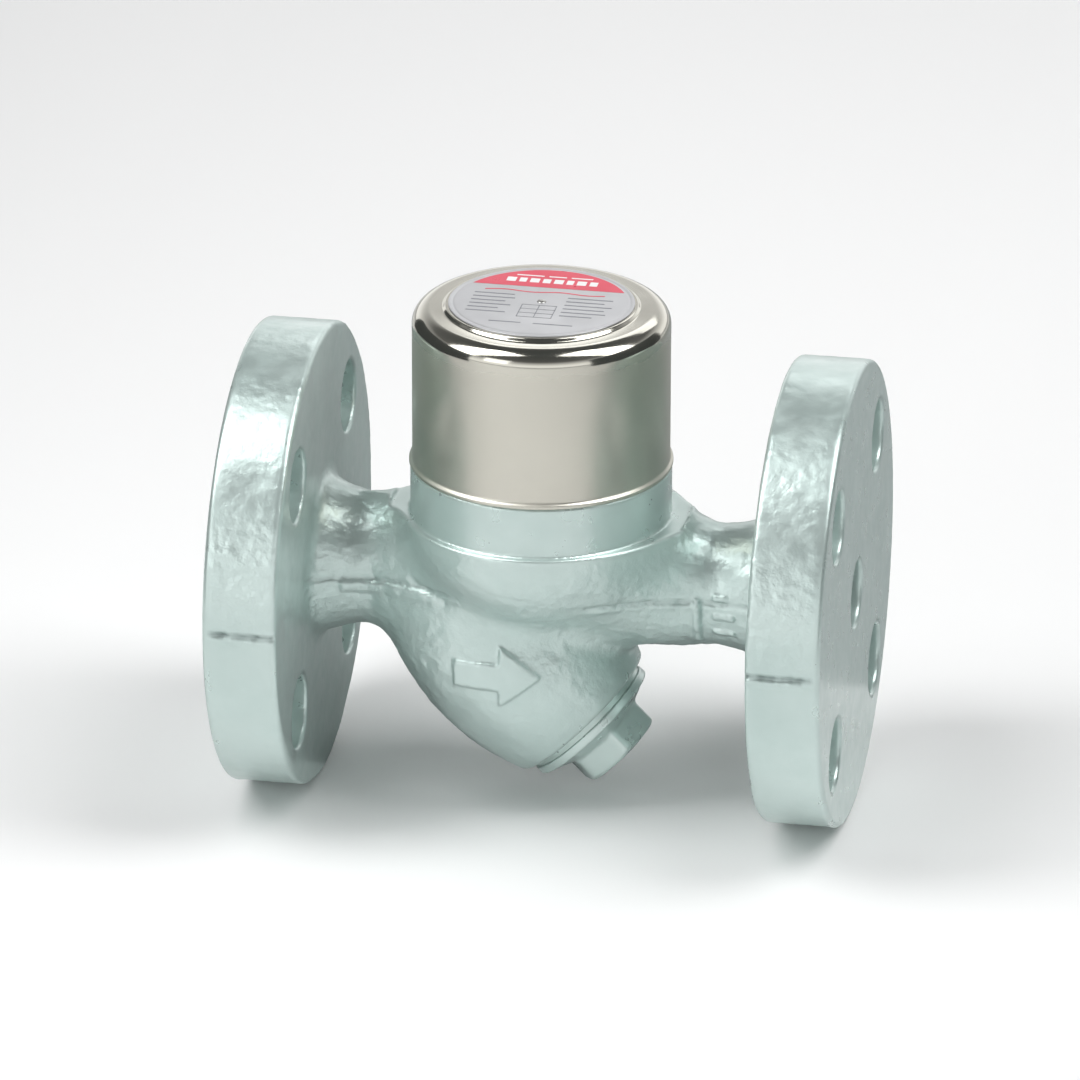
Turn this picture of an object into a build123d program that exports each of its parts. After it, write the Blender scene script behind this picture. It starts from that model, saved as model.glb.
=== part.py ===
"""Flanged disc steam trap with a built-in Y strainer, nominal size 15.

Millimetres, +Z up. The origin is the centre of the inlet flange's mating face, and +X runs
along the pipe from the inlet to the outlet. The strainer barrel slopes down towards the
outlet at 45 degrees. Every piece is its own solid in its own STEP file.
"""

from build123d import *
import os
from math import hypot

# ---------------------------------------------------------------- driving dimensions
# flanges and pipe run
FACE_TO_FACE = 125.0
FLANGE_R = 47.5
FLANGE_T = 15.0
FLANGE_EDGE_R = 1.0
BOLT_CIRCLE_R = 35.0
BOLT_HOLE_R = 7.5
BOLT_COUNT = 4
PORT_R = 7.0
NECK_ROOT_R = 16.4
NECK_FLARE = 14.0
INLET_NECK_R = 13.0
OUTLET_NECK_R = 12.3

# upright chamber of the casting, about the trap's own axis
TRAP_X = 60.0
CHAMBER_R = 27.2
CHAMBER_FLOOR_Z = 3.0
CHAMBER_WALL_LOW_Z = 9.5
COLLAR_R = 26.5
COLLAR_LOW_Z = 13.6
SHOULDER_Z = 24.2
SPIGOT_R = 25.2
SPIGOT_TOP_Z = 28.0
SPIGOT_CHAMFER = 0.5
RELIEF_R = 24.5  # turned groove at the spigot's foot, so that the cap's edge sits square on the shoulder
RELIEF_TOP_Z = 25.2
RIM_R = 20.0
RIM_TOP_Z = 36.5
THREAD_PITCH = 1.5
THREAD_DEPTH = 0.8
THREAD_CLEARANCE = 0.08

# outlet run: the bulge that carries the discharge passage from the chamber to the outlet neck
RUN_TOP_Z = 12.0
RUN_END_X = 26.0  # past the trap axis, on the pipe axis
RUN_R = 23.5
RUN_END_R = 11.4

# strainer barrel: distances along its axis start where that axis crosses the pipe axis
STRAINER_X = 38.0
BARREL_HEAD = (-9.0, 9.0)  # (along, radius)
BARREL_ROOT = (2.0, 15.9)
BARREL_BELLY = (22.0, 20.7)
BARREL_FOOT = (42.6, 17.1)
BOSS_END = 43.5
BOSS_CHAMFER = 0.6

# passages inside the casting
INLET_BORE_END = 42.0
SCREEN_ENTRY_R = 7.2
SCREEN_ENTRY_HEAD = -4.0
SCREEN_SEAT = 5.0
SCREEN_SEAT_DEPTH = 4.0
SCREEN_BORE_R = 12.0
PLUG_THREAD_R = 12.4
PLUG_THREAD_LENGTH = 9.0
INLET_PASSAGE_R = 3.0
INLET_PASSAGE_LOW_Z = -8.2
OUTLET_BORE_START = TRAP_X + 6.0
GALLERY_INNER_R = 6.8
GALLERY_OUTER_R = 10.6
GALLERY_FLOOR_Z = 22.0
GALLERY_PORT_R = 2.0
GALLERY_PORT_ANGLE = 34.0

# valve stack, from the pocket floor upwards
POCKET_R = 16.2
POCKET_FLOOR_Z = 30.0
SEAT_GASKET_T = 0.8
INNER_GASKET_R = (4.0, 6.5)
OUTER_GASKET_R = (10.9, 15.8)
SEAT_R = 16.0
SEAT_FLANGE_TOP_Z = 34.6
SEAT_HUB_R = 11.2
SEAT_TOP_Z = 37.6
SEAT_INLET_R = 2.6
SEAT_GROOVE_R = (6.9, 9.5)
SEAT_GROOVE_DEPTH = 2.5
SEAT_OUTLET_R = 1.2
SEAT_OUTLET_COUNT = 6
DISC_R = 12.9
DISC_T = 3.6
DISC_EDGE = 0.4
DISC_GROOVE_R = (7.0, 9.0)
DISC_GROOVE_DEPTH = 0.8
VENT_RING_R = (11.5, 13.9)
VENT_RING_Z = SEAT_FLANGE_TOP_Z + 0.2
VENT_RING_T = 1.6
VENT_RING_GAP = 3.0

# valve cover and its gasket
COVER_GASKET_R = (16.5, 19.8)
COVER_GASKET_T = 0.6
COVER_R = 24.2
COVER_FLATS = 44.0
COVER_SKIRT_Z = 28.6
COVER_FOOT_R = (14.4, 15.9)
COVER_CEILING_Z = 43.4
COVER_TOP_Z = 50.0
COVER_CHAMFER = 1.5

# outer cap, nameplate and its rivet
CAP_R = 26.1
CAP_WALL = 0.8
CAP_TOP_Z = 57.5
CAP_EDGE_R = 3.6
CAP_LIP_R = 26.75
CAP_LIP_T = 0.9
PLATEAU_R = 19.6
PLATEAU_H = 0.7
PLATEAU_SLOPE = 0.6
NAMEPLATE_R = 18.8
NAMEPLATE_T = 0.3
RIVET_HOLE_R = 0.55
RIVET_R = 0.5
RIVET_HEAD_R = 0.95
RIVET_HEAD_T = 0.35

# strainer screen, plug gasket and plug
SCREEN_R = 9.0
SCREEN_WALL = 0.5
SCREEN_CLEARANCE = 0.15
SCREEN_END = 38.8
SCREEN_ROWS = 11
SCREEN_ROW_PITCH = 2.6
SCREEN_HOLES_AROUND = 16
SCREEN_HOLE_R = 0.8
PLUG_GASKET_R = (12.6, 14.2)
PLUG_GASKET_T = 1.4
PLUG_FLANGE_R = 14.7
PLUG_FLANGE_T = 1.8
PLUG_RECESS_END = 39.0
PLUG_SHOULDER_R = 10.4
PLUG_HEX_START = 48.4
PLUG_HEX_END = 54.8
PLUG_HEX_FLATS = 17.2
PLUG_HEX_CHAMFER = 0.7

# raised flow arrow on the barrel's side
ARROW_CENTRE = (54.8, -15.5)  # (x, z)
ARROW_LENGTH = 18.0
ARROW_HEAD_LENGTH = 8.5
ARROW_HEAD_WIDTH = 13.0
ARROW_SHAFT_WIDTH = 5.6
ARROW_HEIGHT = 0.7

# ---------------------------------------------------------------- planes and axes
TRAP = Plane(origin=(TRAP_X, 0, 0), x_dir=(1, 0, 0), z_dir=(0, -1, 0))
STRAINER = Plane(origin=(STRAINER_X, 0, 0), x_dir=(1, 0, -1), z_dir=(0, -1, 0))
RUN = Plane(origin=(TRAP_X, 0, RUN_TOP_Z), x_dir=(RUN_END_X, 0, -RUN_TOP_Z), z_dir=(0, -1, 0))
PIPE_AXIS = Axis((0, 0, 0), (1, 0, 0))
TRAP_AXIS = Axis((TRAP_X, 0, 0), (0, 0, 1))
STRAINER_AXIS = Axis(STRAINER.origin, STRAINER.x_dir)
RUN_AXIS = Axis(RUN.origin, RUN.x_dir)
SEAM_TURN = -97.0  # puts the seams of crossing revolved shapes off the mid-plane


def across_strainer(along):
    """The plane square to the strainer axis, with its local y along the world's Y."""
    centre = STRAINER.from_local_coords((along, 0, 0))
    return Plane(origin=centre, x_dir=(-1, 0, -1), z_dir=(1, 0, -1))


# ---------------------------------------------------------------- half sections
def outline(plane, *points):
    """A closed straight-sided face on the plane."""
    with BuildSketch(plane) as face:
        with BuildLine():
            Polyline(*points, close=True)
        make_face()
    return face.sketch


def ring(radii, low, high):
    """Half section of a flat ring about the trap axis."""
    inner, outer = radii
    return outline(TRAP, (inner, low), (outer, low), (outer, high), (inner, high))


def tube(plane, radii, start, end):
    """Half section of a tube about the plane's local x axis."""
    inner, outer = radii
    return outline(plane, (start, inner), (start, outer), (end, outer), (end, inner))


def thread_ridges(radius, start, end):
    """(along, radius) points of a row of V grooves that leaves plain ends."""
    turns = int((end - start) / THREAD_PITCH - 0.5)
    points = [(start, radius)]
    for turn in range(turns):
        groove = start + (turn + 0.4) * THREAD_PITCH
        points.append((groove, radius))
        points.append((groove + THREAD_PITCH / 2, radius - THREAD_DEPTH))
    points.append((start + (turns + 0.4) * THREAD_PITCH, radius))
    points.append((end, radius))
    return points


def pipe_section():
    """Both flanges and both flared necks, about the pipe axis."""
    back = FACE_TO_FACE - FLANGE_T
    with BuildSketch(Plane.XZ) as face:
        with BuildLine():
            Polyline((0, 0), (0, FLANGE_R), (FLANGE_T, FLANGE_R), (FLANGE_T, NECK_ROOT_R))
            TangentArc((FLANGE_T + NECK_FLARE, INLET_NECK_R), (FLANGE_T, NECK_ROOT_R), tangent=(-1, 0))
            Polyline(
                (FLANGE_T + NECK_FLARE, INLET_NECK_R),
                (TRAP_X, INLET_NECK_R),
                (TRAP_X, OUTLET_NECK_R),
                (back - NECK_FLARE, OUTLET_NECK_R),
            )
            TangentArc((back - NECK_FLARE, OUTLET_NECK_R), (back, NECK_ROOT_R), tangent=(1, 0))
            Polyline(
                (back, NECK_ROOT_R), (back, FLANGE_R), (FACE_TO_FACE, FLANGE_R), (FACE_TO_FACE, 0), (0, 0)
            )
        make_face()
    return face.sketch


def chamber_section():
    """The chamber's cast wall, machined collar, shoulder, relief groove and spigot."""
    step = CHAMBER_R - COLLAR_R
    with BuildSketch(TRAP) as face:
        with BuildLine():
            Polyline(
                (SEAT_R, CHAMBER_FLOOR_Z),
                (0, CHAMBER_FLOOR_Z),
                (0, SPIGOT_TOP_Z),
                (SPIGOT_R - SPIGOT_CHAMFER, SPIGOT_TOP_Z),
                (SPIGOT_R, SPIGOT_TOP_Z - SPIGOT_CHAMFER),
                (SPIGOT_R, RELIEF_TOP_Z),
                (RELIEF_R, RELIEF_TOP_Z),
                (RELIEF_R, SHOULDER_Z),
                (COLLAR_R, SHOULDER_Z),
                (COLLAR_R, COLLAR_LOW_Z),
                (CHAMBER_R, COLLAR_LOW_Z - step),
                (CHAMBER_R, CHAMBER_WALL_LOW_Z),
            )
            TangentArc((CHAMBER_R, CHAMBER_WALL_LOW_Z), (SEAT_R, CHAMBER_FLOOR_Z), tangent=(0, -1))
        make_face()
    return face.sketch


def run_section():
    """The outlet run: a ball that tapers into the outlet neck, about its sloping axis."""
    slope_length = hypot(RUN_END_X, RUN_TOP_Z)
    taper = (RUN_R - RUN_END_R) / slope_length
    level = (1 - taper**2) ** 0.5
    touch = (RUN_R * taper, RUN_R * level)
    end = (slope_length, touch[1] - (slope_length - touch[0]) * taper / level)
    with BuildSketch(RUN) as face:
        with BuildLine():
            ThreePointArc((-RUN_R, 0), (-RUN_R * level, RUN_R * taper), touch)
            Polyline(touch, end, (slope_length, 0), (-RUN_R, 0))
        make_face()
    return face.sketch


def barrel_section(grown=0.0):
    """The bellied strainer barrel with its boss, about the strainer axis."""
    head, root, belly, foot = (
        (along, radius + grown) for along, radius in (BARREL_HEAD, BARREL_ROOT, BARREL_BELLY, BARREL_FOOT)
    )
    with BuildSketch(STRAINER) as face:
        with BuildLine():
            Polyline((head[0], 0), head, root)
            ThreePointArc(root, belly, foot)
            Polyline(foot, (BOSS_END, foot[1] - BOSS_CHAMFER), (BOSS_END, 0), (head[0], 0))
        make_face()
    return face.sketch


# ---------------------------------------------------------------- the casting
def turned(section, axis):
    """The section swung round its axis, so that the revolved shape's seam is off the mid-plane."""
    return section.rotate(axis, SEAM_TURN)


def make_flow_arrow():
    """The raised arrow: the barrel grown by the arrow's height, kept inside its profile."""
    x, z = ARROW_CENTRE
    tail = x - ARROW_LENGTH / 2
    tip = x + ARROW_LENGTH / 2
    neck = tip - ARROW_HEAD_LENGTH
    shaft = ARROW_SHAFT_WIDTH / 2
    wing = ARROW_HEAD_WIDTH / 2
    profile = outline(
        Plane.XZ.offset(OUTLET_NECK_R),
        (tail, z - shaft),
        (tail, z + shaft),
        (neck, z + shaft),
        (neck, z + wing),
        (tip, z),
        (neck, z - wing),
        (neck, z - shaft),
    )
    with BuildPart() as arrow:
        revolve(barrel_section(grown=ARROW_HEIGHT), axis=STRAINER_AXIS)
        extrude(profile, amount=CHAMBER_R, mode=Mode.INTERSECT)
    return arrow.part


def make_body_casting():
    flow_arrow = make_flow_arrow()
    with BuildPart() as body_casting:
        # outside
        revolve(turned(pipe_section(), PIPE_AXIS), axis=PIPE_AXIS)
        rims = body_casting.edges().filter_by(GeomType.CIRCLE).filter_by(lambda e: e.radius > FLANGE_R - 1)
        fillet(rims, radius=FLANGE_EDGE_R)
        revolve(turned(chamber_section(), TRAP_AXIS), axis=TRAP_AXIS)
        revolve(turned(run_section(), RUN_AXIS), axis=RUN_AXIS)
        revolve(turned(barrel_section(), STRAINER_AXIS), axis=STRAINER_AXIS)
        rim_thread = [(radius, z) for z, radius in thread_ridges(RIM_R, SPIGOT_TOP_Z, RIM_TOP_Z)]
        revolve(outline(TRAP, (0, SPIGOT_TOP_Z), *rim_thread, (0, RIM_TOP_Z)), axis=TRAP_AXIS)
        add(flow_arrow)

        # bolt holes, one flange at a time
        for face_x in (0, FACE_TO_FACE - FLANGE_T):
            with BuildSketch(Plane.YZ.offset(face_x)):
                with PolarLocations(BOLT_CIRCLE_R, BOLT_COUNT, start_angle=45):
                    Circle(BOLT_HOLE_R)
            extrude(amount=FLANGE_T, mode=Mode.SUBTRACT)

        # steam path into the strainer, and the strainer's stepped bore
        revolve(tube(Plane.XZ, (0, PORT_R), 0, INLET_BORE_END), axis=PIPE_AXIS, mode=Mode.SUBTRACT)
        seat_end = SCREEN_SEAT + SCREEN_SEAT_DEPTH
        thread_start = BOSS_END - PLUG_THREAD_LENGTH
        for radius, start, end in (
            (SCREEN_ENTRY_R, SCREEN_ENTRY_HEAD, SCREEN_SEAT),
            (SCREEN_R + SCREEN_CLEARANCE, SCREEN_SEAT, seat_end),
            (SCREEN_BORE_R, seat_end, thread_start),
            (PLUG_THREAD_R, thread_start, BOSS_END),
        ):
            revolve(tube(STRAINER, (0, radius), start, end), axis=STRAINER_AXIS, mode=Mode.SUBTRACT)

        # up to the valve, and back down to the outlet
        revolve(ring((0, POCKET_R), POCKET_FLOOR_Z, RIM_TOP_Z), axis=TRAP_AXIS, mode=Mode.SUBTRACT)
        revolve(
            ring((0, INLET_PASSAGE_R), INLET_PASSAGE_LOW_Z, POCKET_FLOOR_Z),
            axis=TRAP_AXIS,
            mode=Mode.SUBTRACT,
        )
        revolve(
            ring((GALLERY_INNER_R, GALLERY_OUTER_R), GALLERY_FLOOR_Z, POCKET_FLOOR_Z),
            axis=TRAP_AXIS,
            mode=Mode.SUBTRACT,
        )
        with BuildSketch(Plane(origin=(TRAP_X, 0, GALLERY_FLOOR_Z))):
            with PolarLocations(
                (GALLERY_INNER_R + GALLERY_OUTER_R) / 2,
                3,
                start_angle=-GALLERY_PORT_ANGLE,
                angular_range=2 * GALLERY_PORT_ANGLE,
                endpoint=True,
            ):
                Circle(GALLERY_PORT_R)
        extrude(amount=-GALLERY_FLOOR_Z, mode=Mode.SUBTRACT)
        revolve(
            tube(Plane.XZ, (0, PORT_R), OUTLET_BORE_START, FACE_TO_FACE), axis=PIPE_AXIS, mode=Mode.SUBTRACT
        )
    body_casting.part.label = "body_casting"
    export_step(body_casting.part, "parts/body_casting.step")


# ---------------------------------------------------------------- the valve
def make_seat_gaskets():
    top = POCKET_FLOOR_Z + SEAT_GASKET_T
    with BuildPart() as inner_seat_gasket:
        revolve(ring(INNER_GASKET_R, POCKET_FLOOR_Z, top), axis=TRAP_AXIS)
    inner_seat_gasket.part.label = "inner_seat_gasket"
    export_step(inner_seat_gasket.part, "parts/inner_seat_gasket.step")

    with BuildPart() as outer_seat_gasket:
        revolve(ring(OUTER_GASKET_R, POCKET_FLOOR_Z, top), axis=TRAP_AXIS)
    outer_seat_gasket.part.label = "outer_seat_gasket"
    export_step(outer_seat_gasket.part, "parts/outer_seat_gasket.step")


def make_valve_seat():
    low = POCKET_FLOOR_Z + SEAT_GASKET_T
    groove_floor = SEAT_TOP_Z - SEAT_GROOVE_DEPTH
    groove_middle = sum(SEAT_GROOVE_R) / 2
    with BuildPart() as valve_seat:
        revolve(
            outline(
                TRAP,
                (SEAT_INLET_R, low),
                (SEAT_R, low),
                (SEAT_R, SEAT_FLANGE_TOP_Z),
                (SEAT_HUB_R, SEAT_FLANGE_TOP_Z),
                (SEAT_HUB_R, SEAT_TOP_Z),
                (SEAT_GROOVE_R[1], SEAT_TOP_Z),
                (SEAT_GROOVE_R[1], groove_floor),
                (SEAT_GROOVE_R[0], groove_floor),
                (SEAT_GROOVE_R[0], SEAT_TOP_Z),
                (SEAT_INLET_R, SEAT_TOP_Z),
            ),
            axis=TRAP_AXIS,
        )
        with BuildSketch(Plane(origin=(TRAP_X, 0, low))):
            with PolarLocations(groove_middle, SEAT_OUTLET_COUNT):
                Circle(SEAT_OUTLET_R)
        extrude(amount=groove_floor - low, mode=Mode.SUBTRACT)
    valve_seat.part.label = "valve_seat"
    export_step(valve_seat.part, "parts/valve_seat.step")


def make_valve_disc():
    top = SEAT_TOP_Z + DISC_T
    with BuildPart() as valve_disc:
        revolve(
            outline(
                TRAP,
                (0, SEAT_TOP_Z),
                (DISC_R - DISC_EDGE, SEAT_TOP_Z),
                (DISC_R, SEAT_TOP_Z + DISC_EDGE),
                (DISC_R, top - DISC_EDGE),
                (DISC_R - DISC_EDGE, top),
                (DISC_GROOVE_R[1], top),
                (DISC_GROOVE_R[1], top - DISC_GROOVE_DEPTH),
                (DISC_GROOVE_R[0], top - DISC_GROOVE_DEPTH),
                (DISC_GROOVE_R[0], top),
                (0, top),
            ),
            axis=TRAP_AXIS,
        )
    valve_disc.part.label = "valve_disc"
    export_step(valve_disc.part, "parts/valve_disc.step")


def make_air_vent_ring():
    """The split bimetal ring that lifts the disc while the trap is cold."""
    inner, outer = VENT_RING_R
    with BuildPart() as air_vent_ring:
        revolve(ring(VENT_RING_R, VENT_RING_Z, VENT_RING_Z + VENT_RING_T), axis=TRAP_AXIS)
        with BuildSketch(Plane(origin=(TRAP_X + (inner + outer) / 2, 0, VENT_RING_Z))):
            Rectangle(outer, VENT_RING_GAP)
        extrude(amount=VENT_RING_T, mode=Mode.SUBTRACT)
    air_vent_ring.part.label = "air_vent_ring"
    export_step(air_vent_ring.part, "parts/air_vent_ring.step")


def make_cover_gasket():
    with BuildPart() as cover_gasket:
        revolve(ring(COVER_GASKET_R, RIM_TOP_Z, RIM_TOP_Z + COVER_GASKET_T), axis=TRAP_AXIS)
    cover_gasket.part.label = "cover_gasket"
    export_step(cover_gasket.part, "parts/cover_gasket.step")


def make_valve_cover():
    """The threaded cover: its foot clamps the seat, and its hollow is the pressure chamber."""
    ceiling = RIM_TOP_Z + COVER_GASKET_T
    bore = RIM_R + THREAD_CLEARANCE
    with BuildPart() as valve_cover:
        revolve(
            outline(
                TRAP,
                (bore, COVER_SKIRT_Z),
                (COVER_R, COVER_SKIRT_Z),
                (COVER_R, COVER_TOP_Z - COVER_CHAMFER),
                (COVER_R - COVER_CHAMFER, COVER_TOP_Z),
                (0, COVER_TOP_Z),
                (0, COVER_CEILING_Z),
                (COVER_FOOT_R[0], COVER_CEILING_Z),
                (COVER_FOOT_R[0], SEAT_FLANGE_TOP_Z),
                (COVER_FOOT_R[1], SEAT_FLANGE_TOP_Z),
                (COVER_FOOT_R[1], ceiling),
                (bore, ceiling),
            ),
            axis=TRAP_AXIS,
        )
        for side in (-1, 1):
            with BuildSketch(Plane(origin=(TRAP_X, side * COVER_FLATS, COVER_SKIRT_Z))):
                Rectangle(2 * COVER_R, COVER_FLATS)
            extrude(amount=COVER_TOP_Z - COVER_SKIRT_Z, mode=Mode.SUBTRACT)
    valve_cover.part.label = "valve_cover"
    export_step(valve_cover.part, "parts/valve_cover.step")


# ---------------------------------------------------------------- the cap
def make_outer_cap():
    """The pressed sheet cap with a rolled lip and a low plateau for the nameplate."""
    inner = CAP_R - CAP_WALL
    side_top = CAP_TOP_Z - CAP_EDGE_R
    plateau_top = CAP_TOP_Z + PLATEAU_H
    step = PLATEAU_R + PLATEAU_SLOPE
    lip_top = SHOULDER_Z + CAP_LIP_T
    with BuildPart() as outer_cap:
        with BuildSketch(TRAP):
            with BuildLine():
                Polyline(
                    (inner, side_top),
                    (inner, SHOULDER_Z),
                    (CAP_LIP_R, SHOULDER_Z),
                    (CAP_LIP_R, lip_top),
                    (CAP_R, lip_top + CAP_LIP_R - CAP_R),
                    (CAP_R, side_top),
                )
                JernArc((CAP_R, side_top), tangent=(0, 1), radius=CAP_EDGE_R, arc_size=90)
                Polyline(
                    (CAP_R - CAP_EDGE_R, CAP_TOP_Z),
                    (step, CAP_TOP_Z),
                    (PLATEAU_R, plateau_top),
                    (0, plateau_top),
                    (0, plateau_top - CAP_WALL),
                    (PLATEAU_R - CAP_WALL / 2, plateau_top - CAP_WALL),
                    (step - CAP_WALL / 2, CAP_TOP_Z - CAP_WALL),
                    (CAP_R - CAP_EDGE_R, CAP_TOP_Z - CAP_WALL),
                )
                JernArc((inner, side_top), tangent=(0, 1), radius=CAP_EDGE_R - CAP_WALL, arc_size=90)
            make_face()
        revolve(axis=TRAP_AXIS)
        with BuildSketch(Plane(origin=(TRAP_X, 0, plateau_top))):
            Circle(RIVET_HOLE_R)
        extrude(amount=-CAP_WALL, mode=Mode.SUBTRACT)
    outer_cap.part.label = "outer_cap"
    export_step(outer_cap.part, "parts/outer_cap.step")


def make_nameplate():
    low = CAP_TOP_Z + PLATEAU_H
    with BuildPart() as nameplate:
        revolve(ring((RIVET_HOLE_R, NAMEPLATE_R), low, low + NAMEPLATE_T), axis=TRAP_AXIS)
    nameplate.part.label = "nameplate"
    export_step(nameplate.part, "parts/nameplate.step")


def make_nameplate_rivet():
    plate_top = CAP_TOP_Z + PLATEAU_H + NAMEPLATE_T
    with BuildPart() as nameplate_rivet:
        revolve(
            outline(
                TRAP,
                (0, CAP_TOP_Z + PLATEAU_H - CAP_WALL),
                (RIVET_R, CAP_TOP_Z + PLATEAU_H - CAP_WALL),
                (RIVET_R, plate_top),
                (RIVET_HEAD_R, plate_top),
                (RIVET_R, plate_top + RIVET_HEAD_T),
                (0, plate_top + RIVET_HEAD_T),
            ),
            axis=TRAP_AXIS,
        )
    nameplate_rivet.part.label = "nameplate_rivet"
    export_step(nameplate_rivet.part, "parts/nameplate_rivet.step")


# ---------------------------------------------------------------- the strainer
def make_strainer_screen():
    """The perforated basket: rows of round holes, every other row turned by half a pitch."""
    with BuildPart() as strainer_screen:
        revolve(
            tube(STRAINER, (SCREEN_R - SCREEN_WALL, SCREEN_R), SCREEN_SEAT, SCREEN_END),
            axis=STRAINER_AXIS,
        )
        first_row = (SCREEN_SEAT + SCREEN_END - (SCREEN_ROWS - 1) * SCREEN_ROW_PITCH) / 2
        for row in range(SCREEN_ROWS):
            turned = (row % 2) * 180 / SCREEN_HOLES_AROUND
            with Locations(across_strainer(first_row + row * SCREEN_ROW_PITCH)):
                with PolarLocations(0, SCREEN_HOLES_AROUND // 2, start_angle=turned, angular_range=180):
                    Cylinder(SCREEN_HOLE_R, 3 * SCREEN_R, rotation=(0, 90, 0), mode=Mode.SUBTRACT)
    strainer_screen.part.label = "strainer_screen"
    export_step(strainer_screen.part, "parts/strainer_screen.step")


def make_plug_gasket():
    with BuildPart() as plug_gasket:
        revolve(tube(STRAINER, PLUG_GASKET_R, BOSS_END, BOSS_END + PLUG_GASKET_T), axis=STRAINER_AXIS)
    plug_gasket.part.label = "plug_gasket"
    export_step(plug_gasket.part, "parts/plug_gasket.step")


def make_strainer_plug():
    """The screwed plug: threaded shank with a socket for the screen, flange and hexagon."""
    shank_start = BOSS_END - PLUG_THREAD_LENGTH
    flange_start = BOSS_END + PLUG_GASKET_T
    socket_r = SCREEN_R + SCREEN_CLEARANCE
    shank = thread_ridges(PLUG_THREAD_R - THREAD_CLEARANCE, shank_start, flange_start)
    with BuildPart() as strainer_plug:
        revolve(
            outline(
                STRAINER,
                (PLUG_RECESS_END, 0),
                (PLUG_RECESS_END, socket_r),
                (shank_start, socket_r),
                *shank,
                (flange_start, PLUG_FLANGE_R),
                (flange_start + PLUG_FLANGE_T, PLUG_FLANGE_R),
                (PLUG_HEX_START, PLUG_SHOULDER_R),
                (PLUG_HEX_START, 0),
            ),
            axis=STRAINER_AXIS,
        )
        with BuildSketch(across_strainer(PLUG_HEX_START)):
            RegularPolygon(PLUG_HEX_FLATS / 2, 6, major_radius=False)
        extrude(amount=PLUG_HEX_END - PLUG_HEX_START)
        end_face = strainer_plug.faces().sort_by(STRAINER_AXIS)[-1]
        chamfer(end_face.edges(), length=PLUG_HEX_CHAMFER)
    strainer_plug.part.label = "strainer_plug"
    export_step(strainer_plug.part, "parts/strainer_plug.step")


os.makedirs("parts", exist_ok=True)
make_body_casting()
make_seat_gaskets()
make_valve_seat()
make_valve_disc()
make_air_vent_ring()
make_cover_gasket()
make_valve_cover()
make_outer_cap()
make_nameplate()
make_nameplate_rivet()
make_strainer_screen()
make_plug_gasket()
make_strainer_plug()
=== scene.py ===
"""Looks of the flanged disc steam trap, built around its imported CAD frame.

Shapes are worked out in millimetres in the frame's own axes and turned into metres when a
mesh is made. The casting, its threaded rim and the strainer plug are meshed from distance
fields, so that neighbouring shapes blend as cast metal does. The cap and the small turned
pieces are lathed.
"""

import bpy
import math
import numpy as np
from mathutils import Matrix, Vector, noise


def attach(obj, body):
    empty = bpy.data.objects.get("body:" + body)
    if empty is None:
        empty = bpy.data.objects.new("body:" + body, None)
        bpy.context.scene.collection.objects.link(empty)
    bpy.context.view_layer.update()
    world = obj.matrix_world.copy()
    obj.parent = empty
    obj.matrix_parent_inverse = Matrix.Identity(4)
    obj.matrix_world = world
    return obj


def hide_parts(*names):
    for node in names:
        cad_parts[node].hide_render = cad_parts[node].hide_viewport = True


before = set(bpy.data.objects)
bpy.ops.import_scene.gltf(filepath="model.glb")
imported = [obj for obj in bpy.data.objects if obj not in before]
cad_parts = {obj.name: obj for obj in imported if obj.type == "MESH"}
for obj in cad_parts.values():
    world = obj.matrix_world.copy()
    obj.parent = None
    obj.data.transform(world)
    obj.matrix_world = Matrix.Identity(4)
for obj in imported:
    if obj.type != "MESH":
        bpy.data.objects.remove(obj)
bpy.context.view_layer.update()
MM = 0.001

# ---------------------------------------------------------------- sizes shared by the pieces
FACE_TO_FACE = 125.0
FLANGE_R, FLANGE_T, FLANGE_EDGE = 47.5, 15.0, 1.1
BOLT_CIRCLE_R, BOLT_HOLE_R = 35.0, 7.5
TRAP_X = 60.0
COLLAR_R, COLLAR_LOW, SHOULDER = 26.5, 13.6, 24.2
SPIGOT_R, SPIGOT_TOP = 25.2, 28.0
RELIEF_R, RELIEF_TOP = 24.5, 25.2
RIM_R, RIM_TOP = 20.0, 36.5
THREAD_PITCH, THREAD_DEPTH = 1.5, 0.8
POCKET_R, POCKET_FLOOR = 16.2, 30.0
STRAINER_X = 38.0
BOSS_END = 43.5
CAP_R, CAP_WALL, CAP_TOP, CAP_EDGE = 26.1, 0.8, 57.5, 3.6
CAP_LIP_R, CAP_LIP_T = 26.75, 0.9
PLATEAU_R, PLATEAU_H = 19.6, 0.7
PLATE_R, PLATE_T = 18.8, 0.3
SQRT_HALF = math.sqrt(0.5)


# ---------------------------------------------------------------- distance fields
def blend_union(a, b, k):
    """Union of two fields with a fillet about 0.6 k in radius."""
    h = np.clip(0.5 + 0.5 * (b - a) / k, 0, 1)
    return b + (a - b) * h - k * h * (1 - h)


def blend_cut(a, b, k):
    """Field a with b cut away, and the edge eased."""
    return -blend_union(-a, b, k)


def rounded_slab(r, along, radius, half, edge):
    """A disc of that radius and half thickness with rounded edges."""
    qr = r - radius + edge
    qa = np.abs(along) - half + edge
    outside = np.hypot(np.maximum(qr, 0), np.maximum(qa, 0))
    return outside + np.minimum(np.maximum(qr, qa), 0) - edge


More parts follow.
